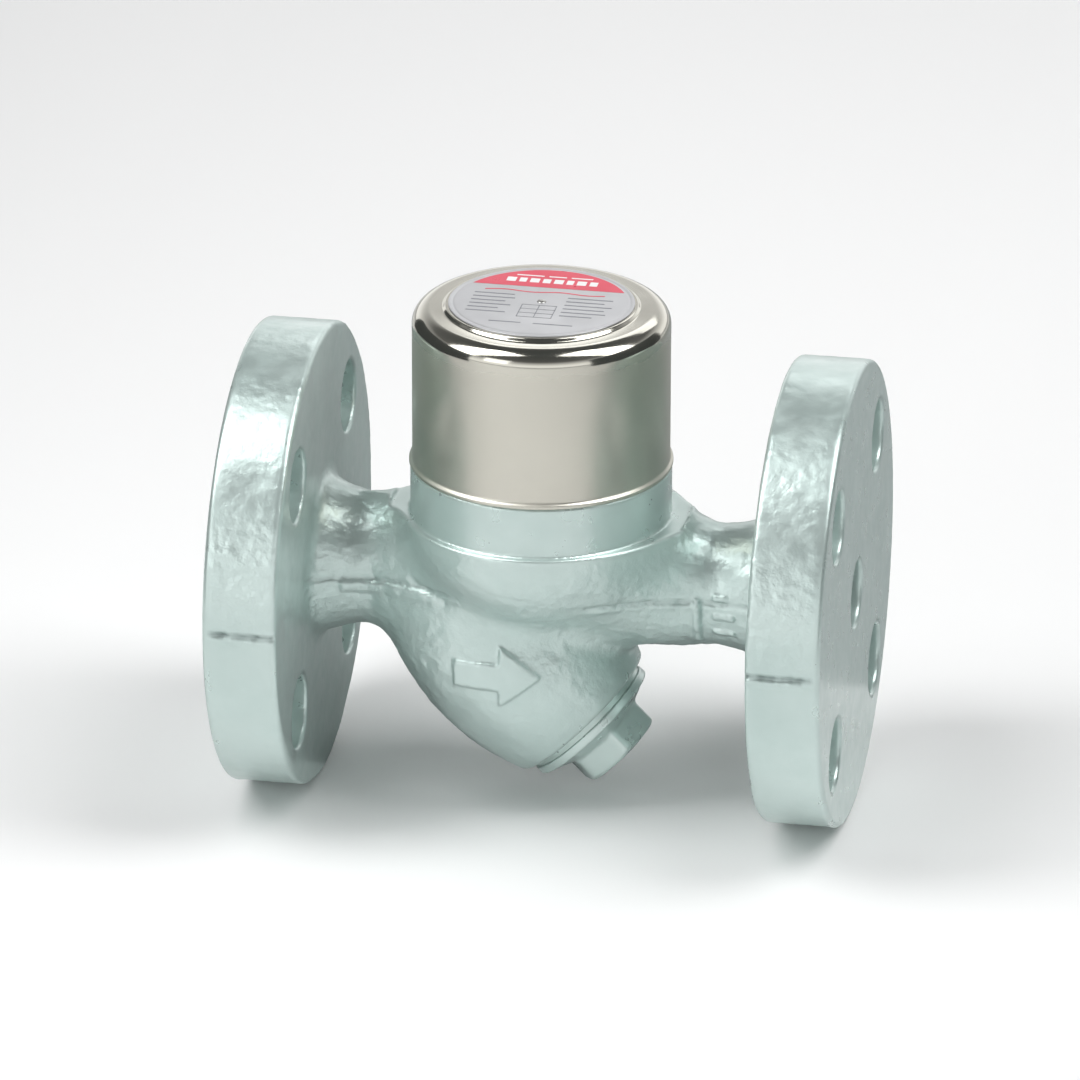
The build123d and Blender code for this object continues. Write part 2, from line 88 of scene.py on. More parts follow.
def round_cone(p, a, b, r1, r2):
    """A ball of radius r1 at a, joined by a taper to a ball of radius r2 at b."""
    a, b = np.array(a), np.array(b)
    ba = b - a
    l2 = ba @ ba
    rr = r1 - r2
    a2 = l2 - rr * rr
    pa = p - a
    y = pa @ ba
    z = y - l2
    x2 = ((pa * l2 - y[:, None] * ba) ** 2).sum(1)
    y2 = y * y * l2
    z2 = z * z * l2
    k = np.sign(rr) * rr * rr * x2
    low_end = np.sqrt(x2 + y2) / l2 - r1
    high_end = np.sqrt(x2 + z2) / l2 - r2
    side = (np.sqrt(x2 * a2 / l2) + y * rr) / l2 - r1
    out = np.where(np.sign(y) * a2 * y2 < k, low_end, side)
    return np.where(np.sign(z) * a2 * z2 > k, high_end, out)


def polygon_distance(x, y, points):
    """Signed distance in the plane to a closed polygon."""
    points = np.array(points, float)
    best = np.full(x.shape, 1e9)
    sign = np.ones(x.shape)
    for (ax, ay), (bx, by) in zip(points, np.roll(points, -1, axis=0)):
        ex, ey = bx - ax, by - ay
        wx, wy = x - ax, y - ay
        t = np.clip((wx * ex + wy * ey) / (ex * ex + ey * ey), 0, 1)
        best = np.minimum(best, (wx - ex * t) ** 2 + (wy - ey * t) ** 2)
        crosses = ((ay > y) != (by > y)) & (x < (bx - ax) * (y - ay) / (by - ay + 1e-12) + ax)
        sign = np.where(crosses, -sign, sign)
    return np.sqrt(best) * sign


def strainer_coordinates(p):
    """Distance along the strainer axis, and from it."""
    dx = p[:, 0] - STRAINER_X
    along = (dx - p[:, 2]) * SQRT_HALF
    across = (dx + p[:, 2]) * SQRT_HALF
    return along, across, np.hypot(across, p[:, 1])


def from_strainer(q):
    """Points given as (along the strainer axis, y, across it), in the frame's axes."""
    along, y, across = q.T
    return np.stack([STRAINER_X + (along + across) * SQRT_HALF, y, (across - along) * SQRT_HALF], 1)


def circle_through(p, q, r):
    """Centre and radius of the circle through three points."""
    (ax, ay), (bx, by), (cx, cy) = p, q, r
    d = 2 * (ax * (by - cy) + bx * (cy - ay) + cx * (ay - by))
    ux = ((ax**2 + ay**2) * (by - cy) + (bx**2 + by**2) * (cy - ay) + (cx**2 + cy**2) * (ay - by)) / d
    uy = ((ax**2 + ay**2) * (cx - bx) + (bx**2 + by**2) * (ax - cx) + (cx**2 + cy**2) * (bx - ax)) / d
    return (ux, uy), math.hypot(ax - ux, ay - uy)


BELLY_CENTRE, BELLY_ARC_R = circle_through((2.0, 15.9), (22.0, 20.7), (42.6, 17.1))
ARROW_X, ARROW_Z = 54.8, -15.5
ARROW = [(-9, -2.8), (-9, 2.8), (0.5, 2.8), (0.5, 6.5), (9, 0), (0.5, -6.5), (0.5, -2.8)]
ARROW_HEIGHT = 0.7
# left edge, lower edge, width and height of each bar on the outlet neck
NECK_BARS = [(93.6, -9.0, 1.4, 10.5), (97.5, -6.5, 4.6, 1.2), (97.5, -2.6, 4.6, 1.2), (97.5, 1.3, 3.0, 1.2)]
BAR_HEIGHT = 0.55


def barrel_field(p):
    along, _, r = strainer_coordinates(p)
    belly = np.hypot(along - BELLY_CENTRE[0], r - BELLY_CENTRE[1]) - BELLY_ARC_R
    return -blend_union(-belly, BOSS_END - along, 0.8)


def neck_radius(x):
    left = 13.0 + 3.4 * np.clip((29.0 - x) / 14.0, 0, 1) ** 2
    right = 12.3 + 4.1 * np.clip((x - 96.0) / 14.0, 0, 1) ** 2
    mix = np.clip((x - 45.0) / 30.0, 0, 1)
    return left * (1 - mix) + right * mix


def cast_outside(p):
    """The casting's as-cast skin, before any machining."""
    x, y, z = p.T
    r_pipe = np.hypot(y, z)
    r_trap = np.hypot(x - TRAP_X, y)
    neck = np.maximum(r_pipe - neck_radius(x), np.abs(x - FACE_TO_FACE / 2) - FACE_TO_FACE / 2 + 5) * 0.97
    floor_edge = 13.0
    qr = r_trap - (27.2 - floor_edge)
    qz = -1.5 + floor_edge - z
    chamber = np.hypot(np.maximum(qr, 0), np.maximum(qz, 0)) + np.minimum(np.maximum(qr, qz), 0) - floor_edge
    chamber = np.maximum(chamber, z - 20.0)
    run = round_cone(p, (TRAP_X, 0, 12.0), (TRAP_X + 26.0, 0, 0), 23.5, 11.4)
    body = blend_union(chamber, run, 9.0)
    body = blend_union(body, barrel_field(p), 5.5)
    body = blend_union(body, neck, 5.5)
    for middle in (FLANGE_T / 2, FACE_TO_FACE - FLANGE_T / 2):
        body = blend_union(body, rounded_slab(r_pipe, x - middle, FLANGE_R, FLANGE_T / 2, FLANGE_EDGE), 2.5)
    return body


def cast_marks(p, body):
    """Raised marks: the flow arrow on the barrel, and plain bars on the outlet neck."""
    x, y, z = p.T
    near = y < -6
    arrow = polygon_distance(x - ARROW_X, z - ARROW_Z, ARROW)
    arrow = np.where(near, np.maximum(arrow, body - ARROW_HEIGHT), 1e3)
    body = blend_union(body, arrow, 0.5)
    for left, low, wide, tall in NECK_BARS:
        bar = np.maximum(np.abs(x - left - wide / 2) - wide / 2, np.abs(z - low - tall / 2) - tall / 2)
        bar = np.where(near, np.maximum(bar, body - BAR_HEIGHT), 1e3)
        body = blend_union(body, bar, 0.5)
    return body


def cylinder_x(p, y0, z0, radius, x0, x1):
    return np.maximum(np.hypot(p[:, 1] - y0, p[:, 2] - z0) - radius, np.maximum(x0 - p[:, 0], p[:, 0] - x1))


def cylinder_z(p, x0, y0, radius, z0, z1):
    return np.maximum(np.hypot(p[:, 0] - x0, p[:, 1] - y0) - radius, np.maximum(z0 - p[:, 2], p[:, 2] - z1))


def casting_field(p):
    """The whole casting up to its shoulder: skin, marks, machined collar and every passage."""
    x, y, z = p.T
    body = cast_marks(p, cast_outside(p))
    r_trap = np.hypot(x - TRAP_X, y)
    turned_away = np.maximum(COLLAR_LOW - z, r_trap - 30.5)
    body = blend_cut(body, turned_away, 0.5)
    collar = np.maximum(r_trap - COLLAR_R, np.maximum(5.0 - z, z - SHOULDER))
    body = blend_union(body, collar, 0.25)
    body = np.maximum(body, np.minimum(z - SHOULDER, 30.5 - r_trap))
    half_circle = BOLT_CIRCLE_R * SQRT_HALF
    for y0 in (-half_circle, half_circle):
        for z0 in (-half_circle, half_circle):
            for x0, x1 in ((-2, FLANGE_T + 3), (FACE_TO_FACE - FLANGE_T - 3, FACE_TO_FACE + 2)):
                body = blend_cut(body, cylinder_x(p, y0, z0, BOLT_HOLE_R, x0, x1), 0.7)
    body = blend_cut(body, cylinder_x(p, 0, 0, 7.0, -2, 42.0), 0.7)
    body = blend_cut(body, cylinder_x(p, 0, 0, 7.0, 66.0, FACE_TO_FACE + 2), 0.7)
    along, _, r = strainer_coordinates(p)
    for radius, start, end in ((7.2, -4, 6), (9.15, 5, 9), (12.0, 9, 35), (12.4, 34.5, 46)):
        body = np.maximum(body, -np.maximum(r - radius, np.maximum(start - along, along - end)))
    body = np.maximum(body, -cylinder_z(p, TRAP_X, 0, 3.0, -8.2, 40))
    gallery = np.maximum(np.abs(r_trap - 8.7) - 1.9, 22.0 - z)
    body = np.maximum(body, -gallery)
    for angle in (-34, 0, 34):
        turn = math.radians(angle)
        port = cylinder_z(p, TRAP_X + 8.7 * math.cos(turn), 8.7 * math.sin(turn), 2.0, 0, 23)
        body = np.maximum(body, -port)
    return body


def helix(angle, along):
    """0 at a thread's crest to 1 at its root."""
    return 1 - np.abs(2 * ((along / THREAD_PITCH - angle / (2 * math.pi)) % 1) - 1)


def rim_field(p):
    """The machined top of the casting: spigot, threaded rim and the pocket for the seat."""
    x, y, z = p.T
    r = np.hypot(x - TRAP_X, y)
    spigot = np.maximum(r - SPIGOT_R, z - SPIGOT_TOP)
    spigot = np.maximum(spigot, (r - SPIGOT_R + z - SPIGOT_TOP + 0.5) * SQRT_HALF)
    spigot = np.maximum(spigot, np.minimum(r - RELIEF_R, RELIEF_TOP - z))
    fade = np.clip((z - SPIGOT_TOP - 0.6) / 0.8, 0, 1) * np.clip((RIM_TOP - 0.3 - z) / 0.8, 0, 1)
    groove = THREAD_DEPTH * fade * np.clip(helix(np.arctan2(y, x - TRAP_X), z) * 1.25 - 0.12, 0, 1)
    rim = np.maximum((r - RIM_R + groove) * 0.75, z - RIM_TOP)
    rim = np.maximum(rim, (r - RIM_R + z - RIM_TOP + 0.6) * SQRT_HALF)
    top = np.maximum(np.minimum(spigot, rim), SHOULDER - z)
    top = blend_cut(top, np.maximum(r - POCKET_R, POCKET_FLOOR - z), 0.3)
    top = np.maximum(top, 3.0 - r)
    return np.maximum(top, -np.maximum(np.abs(r - 8.7) - 1.9, 22.0 - z))


def plug_field(p):
    """The strainer plug: socket, threaded shank, flange, cone and chamfered hexagon."""
    along, across, r = strainer_coordinates(p)
    y = p[:, 1]
    start, face, flange_end, hex_start, hex_end = BOSS_END - 9, BOSS_END + 1.4, BOSS_END + 3.2, 48.4, 54.8
    fade = np.clip((along - start - 0.4) / 0.8, 0, 1) * np.clip((face - 1.2 - along) / 0.8, 0, 1)
    groove = THREAD_DEPTH * fade * np.clip(helix(np.arctan2(y, across), along) * 1.25 - 0.12, 0, 1)
    shank = np.maximum((r - 12.32 + groove) * 0.75, np.maximum(start - along, along - face - 0.5))
    shank = np.maximum(shank, (r - 12.32 + start - along + 0.7) * SQRT_HALF)
    flange = rounded_slab(r, along - (face + flange_end) / 2, 14.7, (flange_end - face) / 2, 0.35)
    cone_r = np.minimum(14.3 - (along - flange_end) * 2.2, 14.3)
    cone = np.maximum((r - cone_r) * 0.42, np.maximum(flange_end - 0.4 - along, along - hex_start - 0.6))
    flats = np.abs(y)
    for side in (-1, 1):
        flats = np.maximum(flats, np.abs(0.5 * y + side * math.sqrt(0.75) * across))
    hexagon = -blend_union(8.6 - flats, 9.75 - r, 0.5)
    hexagon = np.maximum(hexagon, face - along)
    crown = (r - 9.2) * 0.5 + (along - hex_end + 0.35) * math.sqrt(0.75)
    hexagon = -blend_union(-hexagon, -np.maximum(crown, along - hex_end), 0.5)
    plug = blend_union(np.minimum(shank, flange), cone, 0.4)
    plug = blend_union(plug, hexagon, 0.8)
    return np.maximum(plug, -np.maximum(r - 9.15, along - 39.0))


# ---------------------------------------------------------------- meshing
def field_gradient(field, p, h=0.02):
    """Unit gradient and length, by four samples on a tetrahedron."""
    corners = np.array([(1, -1, -1), (-1, -1, 1), (-1, 1, -1), (1, 1, 1)], float)
    g = sum(c * field(p + c * h)[:, None] for c in corners) / (4 * h)
    size = np.linalg.norm(g, axis=1, keepdims=True)
    return g / np.maximum(size, 1e-9), size


def net_from_field(field, low, high, step):
    """Vertices and quads of the field's zero surface, one vertex for each crossed cell."""
    low, high = np.array(low, float), np.array(high, float)
    block = 4
    cells = np.ceil((high - low) / (step * block)).astype(int)
    n = cells * block + 1
    centres = np.stack(np.meshgrid(*[np.arange(c) for c in cells], indexing="ij"), -1).reshape(-1, 3)
    values = field(low + (centres + 0.5) * block * step)
    grid = np.full(n, 1e3, np.float32)
    reach = block * step * 0.87 * 1.5 + 0.2
    offsets = np.stack(np.meshgrid(*[np.arange(block + 1)] * 3, indexing="ij"), -1).reshape(-1, 3)
    for inner in centres[values < -reach]:
        i, j, k = inner * block
        grid[i : i + block + 1, j : j + block + 1, k : k + block + 1] = -1e3
    near = centres[np.abs(values) <= reach]
    index = (near[:, None, :] * block + offsets[None]).reshape(-1, 3)
    flat = np.unique(np.ravel_multi_index(index.T, n))
    index = np.stack(np.unravel_index(flat, n), 1)
    found = np.empty(len(index), np.float32)
    for start in range(0, len(index), 400000):
        part = slice(start, start + 400000)
        found[part] = field(low + index[part] * step)
    grid.reshape(-1)[flat] = found
    inside = grid < 0
    corner = [(a, b, c) for a in (0, 1) for b in (0, 1) for c in (0, 1)]
    count = sum(
        inside[a : n[0] - 1 + a, b : n[1] - 1 + b, c : n[2] - 1 + c].astype(np.int8) for a, b, c in corner
    )
    cell = np.stack(np.nonzero((count > 0) & (count < 8)), 1)
    number = np.full(n - 1, -1, np.int64)
    number[tuple(cell.T)] = np.arange(len(cell))
    value = np.stack([grid[tuple((cell + c).T)] for c in corner], 1).astype(float)
    total = np.zeros((len(cell), 3))
    hits = np.zeros(len(cell))
    for i, a in enumerate(corner):
        for j, b in enumerate(corner):
            if j > i and sum(abs(u - v) for u, v in zip(a, b)) == 1:
                va, vb = value[:, i], value[:, j]
                crossed = (va < 0) != (vb < 0)
                t = np.where(crossed, va / np.where(crossed, va - vb, 1), 0)
                point = np.array(a, float) + (np.array(b, float) - np.array(a, float)) * t[:, None]
                total += point * crossed[:, None]
                hits += crossed
    vertices = low + (cell + total / hits[:, None]) * step
    quads = []
    for axis in range(3):
        u, v = (axis + 1) % 3, (axis + 2) % 3
        a = [slice(None)] * 3
        b = [slice(None)] * 3
        a[axis], b[axis] = slice(0, -1), slice(1, None)
        first, second = inside[tuple(a)], inside[tuple(b)]
        edge = np.stack(np.nonzero(first != second), 1)
        edge = edge[(edge[:, u] > 0) & (edge[:, v] > 0) & (edge[:, u] < n[u] - 1) & (edge[:, v] < n[v] - 1)]
        starts_inside = first[tuple(edge.T)]
        ring = []
        for du, dv in ((-1, -1), (0, -1), (0, 0), (-1, 0)):
            at = edge.copy()
            at[:, u] += du
            at[:, v] += dv
            ring.append(number[tuple(at.T)])
        ring = np.stack(ring, 1)
        ring[~starts_inside] = ring[~starts_inside][:, ::-1]
        quads.append(ring)
    return vertices, np.concatenate(quads)


def make_object(name, vertices, faces, body, smooth_angle=None):
    """A mesh object from millimetre vertices, riding on a CAD body."""
    mesh = bpy.data.meshes.new(name)
    vertices = np.asarray(vertices, np.float32) * MM
    if isinstance(faces, np.ndarray):
        mesh.vertices.add(len(vertices))
        mesh.vertices.foreach_set("co", vertices.ravel())
        mesh.loops.add(faces.size)
        mesh.loops.foreach_set("vertex_index", faces.ravel().astype(np.int32))
        mesh.polygons.add(len(faces))
        mesh.polygons.foreach_set("loop_start", np.arange(0, faces.size, faces.shape[1], dtype=np.int32))
        mesh.update(calc_edges=True)
        mesh.validate()
    else:
        mesh.from_pydata([tuple(v) for v in vertices], [], faces)
        mesh.update()
    mesh.polygons.foreach_set("use_smooth", np.ones(len(mesh.polygons), bool))
    if smooth_angle is not None:
        mesh.set_sharp_from_angle(angle=math.radians(smooth_angle))
    made = bpy.data.objects.new(name, mesh)
    bpy.context.scene.collection.objects.link(made)
    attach(made, body)
    return made


def spread_evenly(vertices, faces, direction, passes=3):
    """Vertices slid within the surface towards the middle of their neighbours."""
    here, there = faces.ravel(), np.roll(faces, -1, axis=1).ravel()
    count = np.maximum(np.bincount(here, minlength=len(vertices)), 1)
    for _ in range(passes):
        sums = [np.bincount(here, weights=vertices[there, i], minlength=len(vertices)) for i in range(3)]
        slide = np.stack(sums, 1) / count[:, None] - vertices
        slide -= direction * (slide * direction).sum(1, keepdims=True)
        vertices = vertices + 0.5 * slide
    return vertices


def object_from_field(name, field, low, high, step, body, relief=None, place=None):
    """The field's surface, pulled onto its zero level, then raised by the relief function.

    With place, the grid lies in that function's own coordinates."""
    if place is None:
        vertices, faces = net_from_field(field, low, high, step)
    else:
        vertices, faces = net_from_field(lambda q: field(place(q)), low, high, step)
        vertices = place(vertices)
    for round_number in range(4):
        direction, size = field_gradient(field, vertices)
        move = field(vertices)[:, None] / np.maximum(size, 0.3)
        vertices = vertices - direction * np.clip(move, -step / 2, step / 2)
        if round_number < 3:
            vertices = spread_evenly(vertices, faces, direction)
    rough = groove_shade = np.zeros(len(vertices))
    if relief is not None:
        direction, _ = field_gradient(field, vertices)
        height, rough, groove_shade = relief(vertices, direction)
        vertices = vertices + direction * height[:, None]
    made = make_object(name, vertices, faces, body)
    # roughness for the paint, and painted shade for the mould joint's groove, stored on the points
    for label, values in (("roughcast", rough), ("groove_shade", groove_shade)):
        attribute = made.data.attributes.new(label, "FLOAT", "POINT")
        attribute.data.foreach_set("value", values.astype(np.float32))
    return made


def smooth_noise(points, scale, seed):
    """Blender's own noise at each point, about -1 to 1, for features of that size."""
    shift = Vector((seed * 17.3, seed * 5.1, seed * 9.7))
    return np.array([noise.noise(Vector(q) + shift) for q in (points / scale).tolist()])


def ease(value, low, high):
    """0 below low, 1 above high, and smooth between."""
    t = np.clip((value - low) / (high - low), 0, 1)
    return t * t * (3 - 2 * t)


def cast_relief(p, direction):
    """Height of the cast skin over the field, how rough it is, and how much painted shade lies in the mould
    joint's groove.
    """
    x, y, z = p.T
    r_pipe = np.hypot(y, z)
    r_trap = np.hypot(x - TRAP_X, y)
    along, _, r_strainer = strainer_coordinates(p)
    as_cast = 1 - ease(np.abs(cast_outside(p)), 0.5, 0.9)
    collar_zone = ease(z, COLLAR_LOW - 1.2, COLLAR_LOW - 0.2) * (1 - ease(r_trap, 29.0, 31.0))
    as_cast = as_cast * (1 - collar_zone)
    as_cast = as_cast * ease(x, 0.8, 2.2) * (1 - ease(x, FACE_TO_FACE - 2.2, FACE_TO_FACE - 0.8))
    as_cast = as_cast * (1 - ease(along, BOSS_END - 2.4, BOSS_END - 1.0) * (r_strainer < 20.0))
    on_rim = ease(r_pipe, FLANGE_R - 1.4, FLANGE_R - 0.5)
    upper = ease(z, -3.0, 4.0) * (1 - 0.75 * ease(z, 22.0, 34.0))
    flange_back = ease(np.abs(direction[:, 0]), 0.7, 0.9) * ease(r_pipe, 18.0, 22.0)
    level = 0.75 * (1 - on_rim) + (0.15 + 0.85 * upper) * on_rim
    level = level * (1 - 0.7 * flange_back)
    hollow = ease(-z, -8.0, -2.0) * (1 - ease(-z, 12.0, 18.0)) * (1 - on_rim)
    level = level * (1 + 0.4 * hollow)
    patches = 0.6 + 0.4 * np.clip(smooth_noise(p, 11.0, 3) * 1.8 + 0.3, 0, 1)
    level = level * patches * as_cast
    height = level * (0.17 * smooth_noise(p, 1.6, 1) + 0.17 * smooth_noise(p, 3.0, 2))
    height += as_cast * (0.11 * smooth_noise(p, 8.0, 5) + 0.02)
    joint = as_cast * (1 - flange_back) * np.where((np.abs(x - TRAP_X) < 13) & (r_trap < 29), 0.0, 1.0)
    broken = 0.7 + 0.6 * smooth_noise(p, 2.2, 7)
    near_line = np.exp(-(((z + 0.3) / 0.55) ** 2))
    height += joint * 0.26 * broken * near_line
    groove = joint * np.exp(-(((z - 0.85) / 0.5) ** 2)) * np.clip(0.8 + 0.7 * smooth_noise(p, 1.6, 9), 0, 1.3)
    height -= (0.55 + 0.35 * on_rim) * groove
    height -= joint * 0.14 * ease(-z, 0.6, 1.6) * on_rim
    near_side = ease(-y, 3.0, 7.0)
    strip = ease(x, 20.5, 22.0) * (1 - ease(x, 41.0, 44.0)) * np.exp(-(((z + 0.9) / 1.25) ** 4))
    height += 0.5 * near_side * as_cast * strip
    (ax, az), (bx, bz) = (36.4, 1.9), (43.4, -0.9)
    t = np.clip(((x - ax) * (bx - ax) + (z - az) * (bz - az)) / ((bx - ax) ** 2 + (bz - az) ** 2), 0, 1)
    crease = np.hypot(x - ax - t * (bx - ax), z - az - t * (bz - az))
    height -= 0.6 * near_side * as_cast * np.exp(-((crease / 0.6) ** 2))
    # third value: painted shade along the mould joint's groove, read by the paint's base colour
    return height, level + 0.4 * joint * near_line, groove * (0.3 + 0.7 * on_rim)


# ---------------------------------------------------------------- lathe
def arc(centre, radius, start, end, steps=8):
    """Points (r, h) along an arc, angles in degrees."""
    turns = np.radians(np.linspace(start, end, steps + 1))
    return [(centre[0] + radius * math.cos(t), centre[1] + radius * math.sin(t)) for t in turns]


def lathe(name, profile, body, segments=128, origin=(TRAP_X, 0, 0), axis=(0, 0, 1), smooth_angle=40):
    """A solid of revolution from a closed (r, h) profile about an axis through origin."""
    turn = Vector((0, 0, 1)).rotation_difference(Vector(axis)).to_matrix()
    vertices, faces, rings = [], [], []
    for r, h in profile:
        if r < 1e-6:
            rings.append([len(vertices)] * segments)
            vertices.append(turn @ Vector((0, 0, h)) + Vector(origin))
            continue
        rings.append(list(range(len(vertices), len(vertices) + segments)))
        for k in range(segments):
            a = 2 * math.pi * k / segments
            vertices.append(turn @ Vector((r * math.cos(a), r * math.sin(a), h)) + Vector(origin))
    for i, ring in enumerate(rings):
        after = rings[(i + 1) % len(rings)]
        for k in range(segments):
            m = (k + 1) % segments
            corners = [ring[k], ring[m], after[m], after[k]]
            face = list(dict.fromkeys(corners))
            if len(face) > 2:
                faces.append(face)
    return make_object(name, [tuple(v) for v in vertices], faces, body, smooth_angle)


# ---------------------------------------------------------------- materials
class Nodes:
    """Short hands for a material's node tree."""

    def __init__(self, material):
        material.use_nodes = True
        self.tree = material.node_tree
        self.tree.nodes.clear()
        self.output = self.add("ShaderNodeOutputMaterial")
        self.shader = self.add("ShaderNodeBsdfPrincipled")
        self.link(self.shader.outputs[0], self.output.inputs["Surface"])
        self.where = self.add("ShaderNodeTexCoord").outputs["Object"]

    def add(self, kind, **settings):
        made = self.tree.nodes.new(kind)
        for key, value in settings.items():
            setattr(made, key, value)
        return made

    def link(self, source, target):
        self.tree.links.new(source, target)

    def set(self, **values):
        for key, value in values.items():
            socket = self.shader.inputs[key.replace("_", " ")]
            socket.default_value = (*value, 1) if isinstance(value, tuple) else value

    def noise(self, scale, detail=3.0, roughness=0.55, stretch=None):
        """Noise of the object's own coordinates, for features 1/scale metres wide."""
        made = self.add("ShaderNodeTexNoise")
        made.inputs["Scale"].default_value = scale
        made.inputs["Detail"].default_value = detail
        made.inputs["Roughness"].default_value = roughness
        source = self.where
        if stretch is not None:
            mapping = self.add("ShaderNodeMapping")
            mapping.inputs["Scale"].default_value = stretch
            self.link(self.where, mapping.inputs["Vector"])
            source = mapping.outputs[0]
        self.link(source, made.inputs["Vector"])
        return made.outputs["Fac"]

    def ramp(self, source, low, high, at=(0.35, 0.65)):
        """Maps a value between two numbers or two colours."""
        made = self.add("ShaderNodeValToRGB")
        made.color_ramp.elements[0].position, made.color_ramp.elements[1].position = at
        for element, value in zip(made.color_ramp.elements, (low, high)):
            element.color = (*value, 1) if isinstance(value, tuple) else (value, value, value, 1)
        self.link(source, made.inputs["Fac"])
        return made.outputs["Color"]

    def math(self, operation, a, b=None):
        made = self.add("ShaderNodeMath", operation=operation)
        for socket, value in zip(made.inputs, (a, b)):
            if value is None:
                continue
            if isinstance(value, (int, float)):
                socket.default_value = value
            else:
                self.link(value, socket)
        return made.outputs[0]

    def bump(self, height, distance):
        made = self.add("ShaderNodeBump")
        made.inputs["Distance"].default_value = distance
        made.inputs["Strength"].default_value = 1.0
        self.link(height, made.inputs["Height"])
        return made.outputs[0]


def paint(name, colour, darker, grain=0.0):
    """Glossy silver-green paint, with painted shade darkening the mould joint's groove, and a fine grain
    where it lies on cast skin.
    """
    material = bpy.data.materials.new(name)
    n = Nodes(material)
    tint = n.ramp(n.noise(55, 4), darker, colour, (0.3, 0.62))
    # painted shade: the base colour is mixed towards dark grey-green along the mould joint's groove, weighted
    # by the point attribute that cast_relief gives
    groove_shade = n.add("ShaderNodeAttribute", attribute_name="groove_shade", attribute_type="GEOMETRY").outputs["Fac"]
    groove_shade_mix = n.add("ShaderNodeMix", data_type="RGBA")
    n.link(n.math("MULTIPLY", groove_shade, 0.8), groove_shade_mix.inputs[0])
    n.link(tint, groove_shade_mix.inputs[6])
    groove_shade_mix.inputs[7].default_value = (0.13, 0.17, 0.165, 1)
    n.link(groove_shade_mix.outputs[2], n.shader.inputs["Base Color"])
    n.set(Metallic=0.6, IOR=1.5, Coat_Weight=0.35, Coat_Roughness=0.18, Coat_IOR=1.5)
    mask = n.add("ShaderNodeAttribute", attribute_name="roughcast", attribute_type="GEOMETRY").outputs["Fac"]
    rough = n.math("ADD", n.ramp(n.noise(240, 2), 0.27, 0.40), n.math("MULTIPLY", mask, 0.06))
    n.link(rough, n.shader.inputs["Roughness"])
    if grain:
        n.link(n.bump(n.math("MULTIPLY", n.noise(900, 2), mask), grain), n.shader.inputs["Normal"])
    return material


def satin(name, colour, roughness, lines=0.0, metallic=1.0):
    """Metal, plating or ink with soft blotches, and fine upright lines when asked for."""
    material = bpy.data.materials.new(name)
    n = Nodes(material)
    low = tuple(c * 0.93 for c in colour)
    n.link(n.ramp(n.noise(70, 4), low, colour), n.shader.inputs["Base Color"])
    n.set(Metallic=metallic)
    rough = n.ramp(n.noise(160, 4), roughness - 0.05, roughness + 0.05)
    n.link(rough, n.shader.inputs["Roughness"])
    if lines:
        streak = n.noise(1.0, 2, 0.6, (900, 900, 40))
        n.link(n.bump(streak, lines), n.shader.inputs["Normal"])
    return material


def turned_metal(name, colour, roughness, lines, polished_above=None):
    """Metal polished in circles about the upright axis: noise of height and distance from it."""
    material = bpy.data.materials.new(name)
    n = Nodes(material)
    low = tuple(c * 0.94 for c in colour)
    n.link(n.ramp(n.noise(60, 3), low, colour), n.shader.inputs["Base Color"])
    n.set(Metallic=1.0)
    shift = n.add("ShaderNodeVectorMath", operation="SUBTRACT")
    shift.inputs[1].default_value = (TRAP_X * MM, 0, 0)
    n.link(n.where, shift.inputs[0])
    split = n.add("ShaderNodeSeparateXYZ")
    n.link(shift.outputs[0], split.inputs[0])
    squares = [n.math("POWER", split.outputs[i], 2) for i in (0, 1)]
    radius = n.math("SQRT", n.math("ADD", *squares))
    angle = n.math("ARCTAN2", split.outputs[1], split.outputs[0])
    joined = n.add("ShaderNodeCombineXYZ")
    n.link(n.math("MULTIPLY", radius, 4200), joined.inputs[0])
    n.link(n.math("MULTIPLY", split.outputs[2], 4200), joined.inputs[1])
    n.link(n.math("MULTIPLY", angle, 1.2), joined.inputs[2])
    rings = n.add("ShaderNodeTexNoise")
    rings.inputs["Scale"].default_value = 1.0
    rings.inputs["Detail"].default_value = 2.0
    n.link(joined.outputs[0], rings.inputs["Vector"])
    blotches = n.ramp(n.noise(120, 3), roughness - 0.05, roughness + 0.05)
    rough = n.math("ADD", blotches, n.math("MULTIPLY", rings.outputs["Fac"], 0.05))
    if polished_above is not None:
        height = n.add("ShaderNodeMapRange")
        height.inputs["From Min"].default_value, height.inputs["From Max"].default_value = polished_above
        height.inputs["To Min"].default_value, height.inputs["To Max"].default_value = 1.0, 0.35
        n.link(split.outputs[2], height.inputs["Value"])
        rough = n.math("MULTIPLY", rough, height.outputs["Result"])
    n.link(rough, n.shader.inputs["Roughness"])
    n.link(n.bump(rings.outputs["Fac"], lines), n.shader.inputs["Normal"])
    return material


def use(made, material):
    made.data.materials.clear()
    made.data.materials.append(material)


casting_paint = paint("casting_paint_look", (0.56, 0.665, 0.64), (0.50, 0.61, 0.585), 0.0002)
plug_paint = paint("plug_paint_look", (0.58, 0.68, 0.655), (0.53, 0.635, 0.61))
gasket_paint = paint("plug_gasket_look", (0.52, 0.62, 0.59), (0.47, 0.57, 0.54))
nickel = turned_metal("satin_nickel_look", (0.60, 0.585, 0.52), 0.34, 0.0000012, (0.0515, 0.0545))
turned_steel = turned_metal("machined_steel_look", (0.50, 0.50, 0.50), 0.24, 0.000006)
lapped_steel = turned_metal("ground_steel_look", (0.60, 0.61, 0.62), 0.14, 0.000001)
soft_metal = satin("soft_gasket_look", (0.55, 0.53, 0.50), 0.45)
bimetal = satin("bimetal_look", (0.56, 0.49, 0.40), 0.30, 0.000003)
screen_steel = satin("screen_steel_look", (0.60, 0.60, 0.59), 0.30, 0.000002)
